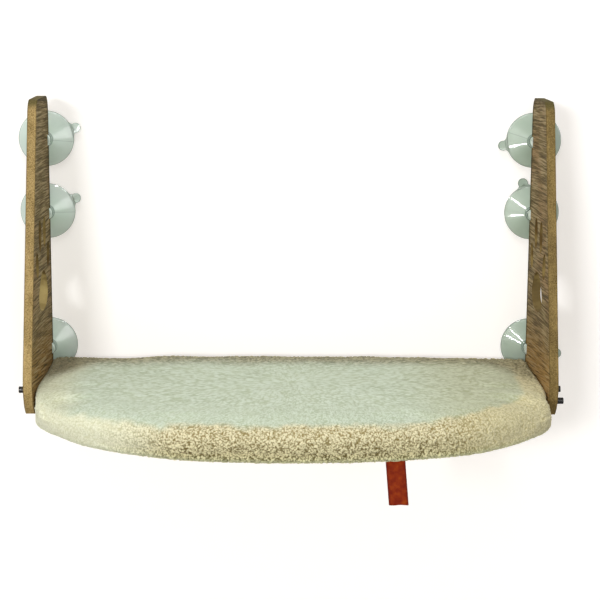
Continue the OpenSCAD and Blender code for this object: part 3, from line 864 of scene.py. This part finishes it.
def cup_body(columns):
    """Turned body: points (r cos a, -h, r sin a), and each point's edge and boss numbers.

    Edge is 1 on the lip, the collar, its groove and the neck, and boss is 1 on the neck and head.
    """
    chain = rounded_chain(CUP_CORNERS, 5)
    r, h = chain[:, 0], chain[:, 1]
    a = np.linspace(0, 2 * pi, columns, endpoint=False)
    ones = np.ones_like(a)
    turned = [r[:, None] * np.cos(a), -h[:, None] * ones, r[:, None] * np.sin(a)]
    grid = np.stack(turned, axis=-1)
    on_rim = step_up(r, 29.5 * MM, 29.9 * MM) * step_up(h, -MM, 0.2 * MM)
    on_collar = step_up(r, 7.7 * MM, 8.0 * MM) * (1 - step_up(r, 8.6 * MM, 9.0 * MM))
    on_collar = on_collar * step_up(h, 11.4 * MM, 11.8 * MM)
    on_groove = step_up(r, 6.3 * MM, 6.5 * MM) * (1 - step_up(r, 7.0 * MM, 7.3 * MM))
    on_groove = on_groove * (h < 15.3 * MM) * (h > 9 * MM)
    on_neck = step_up(-r, -5.6 * MM, -5.2 * MM) * (h > 15.5 * MM) * (h < 20 * MM)
    edge = np.maximum(np.maximum(on_rim, on_collar), np.maximum(on_groove, on_neck))
    boss = step_up(-r, -6.4 * MM, -6.1 * MM) * step_up(h, 15.0 * MM, 15.5 * MM)
    return grid, edge[:, None] * ones, boss[:, None] * ones


# Rings of the tab: how far each is drawn out, its share of the thickness, and its lift in
# millimetres
TAB_RINGS = [
    (0.01, 0, 0.45),
    (0.7, 0, 0.45),
    (0.95, 0, 0.5),
    (1.0, 0, 0.75),
    (1.0, 1, -0.35),
    (0.975, 1, -0.1),
    (0.93, 1, 0),
    (0.86, 1, -0.12),
    (0.6, 1, -0.14),
    (0.3, 1, -0.14),
    (0.01, 1, -0.14),
]


# Edge number on the tab's faces, which paints shade over the whole tab, and what its outer edge
# adds
TAB_SHADE, TAB_EDGE_TINT = 0.42, 0.58


def tab_rings(columns):
    """Pull tab: closed rings round a waisted outline, drawn in at both faces.

    Half the width is 5.5 mm at the round end, 7 mm where the tab meets the rim and 11.6 mm at its
    root inside the cup, where the thickness falls from 2.1 mm to 1.15 mm.
    """
    t = np.linspace(-1, 1, columns // 2)
    end = radians(104) * t
    head = np.stack([34.5 + 5.5 * np.cos(end), 5.5 * np.sin(end)], axis=-1)
    s = np.linspace(0, 1, columns // 4 + 2)[1:]
    root = 33.1 - 5.1 * s
    half = 5.3 - 0.15 * np.sin(pi * np.minimum(s * 2.5, 1)) + 6.3 * s**2
    upper = np.stack([root, half], axis=-1)
    lower = upper[::-1] * (1, -1)
    flat = np.concatenate([head, upper, lower])
    middle = np.array([33.0, 0.0])
    rings, edge = [], []
    for draw, share, lift in TAB_RINGS:
        ring = middle + (flat - middle) * draw
        thick = 2.1 - 0.95 * step_up(np.abs(ring[:, 1]), 6.0, 10.5)
        rings.append(np.stack([ring[:, 0], -(thick * share + lift), ring[:, 1]], axis=-1) * MM)
        outer = step_up(ring[:, 0], 30.9, 32.4) if draw > 0.91 else np.zeros(len(ring))
        edge.append(TAB_SHADE + TAB_EDGE_TINT * outer)
    return np.stack(rings), np.stack(edge)


def ring_shell(grid, start, flip):
    """Points of a grid of closed rings with its two poles, and its faces numbered from start."""
    rows, columns = grid.shape[:2]
    poles = np.stack([grid[0].mean(axis=0), grid[-1].mean(axis=0)])
    points = np.concatenate([grid.reshape(-1, 3), poles])
    quads, tris = ring_faces(rows, columns, rows * columns, rows * columns + 1)
    if flip:
        quads, tris = quads[:, ::-1], tris[:, ::-1]
    return points, quads + start, tris + start


def suction_cup(side, row, tab_angle, finish):
    """One moulding with its turned body and its pull tab, on the cup's own body."""
    columns, tab_columns = 144, 64
    body, body_edge, body_boss = cup_body(columns)
    tab, tab_edge = tab_rings(tab_columns)
    p1, q1, t1 = ring_shell(body, 0, False)
    p2, q2, t2 = ring_shell(tab, len(p1), True)
    local = np.concatenate([p1, p2])
    turn = radians(tab_angle)
    along, across = local[:, 0], local[:, 2]
    cup_x = PLANK_MIDDLE if side == "right" else -PLANK_MIDDLE
    x = along * cos(turn) - across * sin(turn) + cup_x
    z = along * sin(turn) + across * cos(turn) + CUP_ROWS[row]
    points = np.stack([x, local[:, 1], z], axis=-1)
    name = f"cup_{side}_{row}"
    quads, tris = np.concatenate([q1, q2]), np.concatenate([t1, t2])
    piece = mesh_piece("moulded_" + name, points, quads, tris)
    edge = [body_edge.ravel(), [0, 0], tab_edge.ravel(), [TAB_SHADE, TAB_SHADE]]
    boss = [body_boss.ravel(), [0, 1], np.zeros(tab_edge.size + 2)]
    add_numbers(piece, "edge", np.concatenate(edge))
    add_numbers(piece, "boss", np.concatenate(boss))
    share = np.mod(np.arctan2(across, along) / (2 * pi), 1)
    radius = np.where(np.arange(len(local)) < len(p1), np.hypot(along, across), 1.0)
    corner = np.concatenate([quads.ravel(), tris.ravel()])
    turn_map = np.stack([share[corner], radius[corner]], axis=-1)
    layer = piece.data.uv_layers.new(name="turn")
    layer.data.foreach_set("uv", turn_map.astype(np.float32).ravel())
    piece.data.materials.append(finish)
    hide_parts(name)
    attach(piece, name)


# Label


def tape_label():
    """Folded tape: down from the seam, round a fold and back up, swaying a little.

    Along the tape s runs from 0 to 1: y and z follow a narrow loop, x leans as it goes down.
    """
    low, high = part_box("fabric_label")
    drop, y_mid = high.z - low.z, (low.y + high.y) / 2
    s = np.linspace(0, 1, 97)
    bend = 0.5 * MM
    straight = drop - bend + LABEL_SEAM
    total = 2 * straight + pi * bend
    d = s * total
    angle = np.clip((d - straight) / bend, 0, pi)
    down = np.where(d < straight, d, np.where(d > total - straight, total - d, straight))
    z = high.z + LABEL_SEAM - down - bend * np.sin(angle)
    y = y_mid - bend * np.cos(angle)
    fall = np.clip((high.z - z) / drop, 0, 1)
    across = np.linspace(-0.5, 0.5, 25)
    u, v = np.meshgrid(across, np.arange(len(s)))
    f = fall[v]
    gx = LABEL_X + u * LABEL_WIDTH + LABEL_LEAN * f
    gy = y[v] - 1.3 * MM * f * (1 - (2 * u) ** 2) + 0.8 * MM * np.sin(5.5 * f + 0.6) * f
    gz = z[v] + 0.35 * MM * np.sin(7 * u + 1) * f
    points = np.stack([gx, gy, gz], axis=-1).reshape(-1, 3)
    rows, columns = len(s), len(across)
    i = np.arange(columns - 1)
    base = np.arange(rows - 1)[:, None] * columns
    below = base + columns
    quads = np.stack([base + i, below + i, below + i + 1, base + i + 1], axis=-1)
    piece = mesh_piece("tape_label", points, quads)
    layer = piece.data.uv_layers.new(name="tape")
    corner = quads.ravel()
    flat = np.stack([(u * LABEL_WIDTH).ravel()[corner], d[v].ravel()[corner]], axis=-1)
    layer.data.foreach_set("uv", flat.astype(np.float32).ravel())
    wall = piece.modifiers.new("tape_thickness", "SOLIDIFY")
    wall.thickness = 0.35 * MM
    wall.offset = 0
    piece.data.materials.append(red_tape())
    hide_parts("fabric_label")
    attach(piece, "perch")


# Stage

WALL_Y = 3 * MM  # just behind the glass
FLOOR_Z = -1.1
STAGE_FAR = 6.0  # how far wall and floor reach
ROOM_TINT, ROOM_STRENGTH = (1.0, 0.99, 0.97, 1), 0.44
PERCH = (0, -0.1, -0.05)

# Name, place, target, size, watts and spread of each soft lamp
LAMPS = (
    ("key_lamp", (-1.9, -5.75, 1.0), PERCH, (1.1, 0.7), 152, 180),
    ("fill_lamp", (0.7, -5.95, 0.9), PERCH, (1.3, 0.7), 58, 180),
    ("top_lamp", (-0.05, -0.6, 1.35), (0, -0.2, -0.13), (0.8, 0.4), 3.5, 120),
)

# Name, cup, way from the cup, size and watts of each lamp that only draws a gloss line on a cup
RIGHT_MIDDLE = (0.27, -0.01, 0.035)
RIGHT_BOTTOM = (0.27, -0.01, -0.116)
LEFT_MIDDLE = (-0.27, -0.01, 0.035)
GLEAM_GAP = 1.1
GLEAMS = (
    ("upper_gleam", RIGHT_MIDDLE, (-0.554, -0.758, 0.345), (0.08, 0.08), 1.8),
    ("lower_gleam", RIGHT_MIDDLE, (-0.662, -0.708, -0.245), (0.08, 0.08), 1.8),
    ("steep_gleam", RIGHT_BOTTOM, (-0.490, -0.791, 0.368), (0.09, 0.09), 2.5),
    ("flat_gleam", RIGHT_BOTTOM, (-0.621, -0.770, 0.152), (0.09, 0.09), 2.5),
    ("wide_gleam", LEFT_MIDDLE, (0.71, -0.81, 0.22), (0.7, 0.5), 5),
)


def soft_lamp(name, place, target, size, watts, spread=180, gloss_only=False):
    """Oblong soft lamp at place, turned to target and unseen by the camera.

    Its beam is spread degrees wide. A lamp for gloss only shows in shiny surfaces and adds no
    other light.
    """
    data = bpy.data.lights.new(name, "AREA")
    data.shape = "RECTANGLE"
    data.size, data.size_y = size
    data.energy = watts
    data.spread = radians(spread)
    lamp = bpy.data.objects.new(name, data)
    lamp.location = place
    lamp.rotation_mode = "QUATERNION"
    lamp.rotation_quaternion = (Vector(target) - Vector(place)).to_track_quat("-Z", "Y")
    lamp.visible_camera = False
    lamp.visible_diffuse = not gloss_only
    scene.collection.objects.link(lamp)


def stage_finish(name, body, glow):
    """White stage paint, seen from its front only.

    It takes shadows, and shows white where a camera or gloss ray meets it.
    """
    f = Finish(name)
    path = f.add("ShaderNodeLightPath").outputs
    seen = f.sum("MAXIMUM", path["Is Camera Ray"], path["Is Glossy Ray"])
    seen = f.sum("MAXIMUM", seen, path["Is Transmission Ray"])
    paint = f.add("ShaderNodeBsdfDiffuse", {"Color": body}).outputs[0]
    shine = f.add("ShaderNodeEmission", {"Color": glow, "Strength": seen}).outputs[0]
    both = f.add("ShaderNodeAddShader", {0: paint, 1: shine}).outputs[0]
    clear = f.add("ShaderNodeBsdfTransparent").outputs[0]
    back = f.add("ShaderNodeNewGeometry").outputs["Backfacing"]
    both = f.add("ShaderNodeMixShader", {0: back, 1: both, 2: clear}).outputs[0]
    f.tree.links.new(both, f.out.inputs["Surface"])
    return f.material


def stage_plane(name, corners, finish):
    """Flat stage sheet with the given corners, turned so that its face looks at the room."""
    piece = mesh_piece(name, corners, [[0, 1, 2, 3]], smooth=False)
    piece.data.materials.append(finish)


def build_room():
    """World that lights the object plainly and is white to the camera."""
    world = bpy.data.worlds.new("room")
    world.use_nodes = True
    scene.world = world
    tree = world.node_tree
    tree.nodes.clear()
    path = tree.nodes.new("ShaderNodeLightPath")
    out = tree.nodes.new("ShaderNodeOutputWorld")
    lit = tree.nodes.new("ShaderNodeBackground")
    lit.inputs[0].default_value = ROOM_TINT
    lit.inputs[1].default_value = ROOM_STRENGTH
    white = tree.nodes.new("ShaderNodeBackground")
    white.inputs[0].default_value = (1, 1, 1, 1)
    white.inputs[1].default_value = 1.0
    either = tree.nodes.new("ShaderNodeMixShader")
    tree.links.new(path.outputs["Is Camera Ray"], either.inputs[0])
    tree.links.new(lit.outputs[0], either.inputs[1])
    tree.links.new(white.outputs[0], either.inputs[2])
    tree.links.new(either.outputs[0], out.inputs[0])


def build_stage():
    """Pale wall behind the glass plane, pale floor far below, world and lamps."""
    wall = stage_finish("wall_paint", (0.72, 0.72, 0.72, 1), (0.39, 0.36, 0.325, 1))
    floor = stage_finish("floor_paint", (0.6, 0.6, 0.6, 1), (0.6, 0.6, 0.6, 1))
    far = STAGE_FAR
    across = ((-far, 0), (far, 0), (far, 1), (-far, 1))
    wall_corners = [(x, WALL_Y, far if up else FLOOR_Z) for x, up in across]
    floor_corners = [(x, far if back else -far, FLOOR_Z) for x, back in across]
    stage_plane("wall", wall_corners, wall)
    stage_plane("floor", floor_corners, floor)
    build_room()
    for name, place, target, size, watts, spread in LAMPS:
        soft_lamp(name, place, target, size, watts, spread)
    for name, cup, way, size, watts in GLEAMS:
        cup = Vector(cup)
        soft_lamp(name, cup + Vector(way) * GLEAM_GAP, cup, size, watts, gloss_only=True)
    scene.view_settings.view_transform = "Standard"


# The perch


def dress(names, finish):
    """Gives CAD nodes a finish."""
    for name in names:
        mesh = nodes[name].data
        mesh.materials.clear()
        mesh.materials.append(finish)


photo_camera()
build_stage()

left_wood = plank_wood(
    "left_plank_wood",
    dark="56492B",
    middle="84734F",
    light="AA9872",
    warm="94744E",
    low_warm="9C7942",
    edge_low="705C34",
    edge_high="B69C68",
    sawn="A08E5C",
)
right_wood = plank_wood(
    "right_plank_wood",
    dark="544426",
    middle="887652",
    light="AE9A74",
    warm="9A7650",
    low_warm="AE864C",
    edge_low="544426",
    edge_high="907A4A",
    # Painted shade: the right plank's cut walls get a darker sawn colour than the left's.
    sawn="7C6A42",
)
# Painted light: the left cups' mint is painted lighter than the right cups' to lift them out of the
# left plank's shadow. Their boss colour BCCCC0 is painted shade on the neck and head.
left_mint_painted_light = cup_mint("left_cup_mint_painted_light", "D6E8DA", "DEEEE2", "8A9E92", "BCCCC0")
# Painted highlight: the right cups' boss colour EEF2EC is painted pale on the neck and head.
right_mint = cup_mint("right_cup_mint", "AEBEAD", "B7C6B6", "64776C", "EEF2EC")

dress(["side_plank_left"], left_wood)
dress(["side_plank_right"], right_wood)
dress([n for n in nodes if n.startswith(("screw_", "washers_"))], black_steel())
dress(["bed_board", "cleat_left", "cleat_right"], plain_board())
for side, mint in (("left", left_mint_painted_light), ("right", right_mint)):
    for row, tab_angle in zip(CUP_ROWS, TAB_ANGLES[side]):
        suction_cup(side, row, tab_angle, mint)

plush_bed()
tape_label()
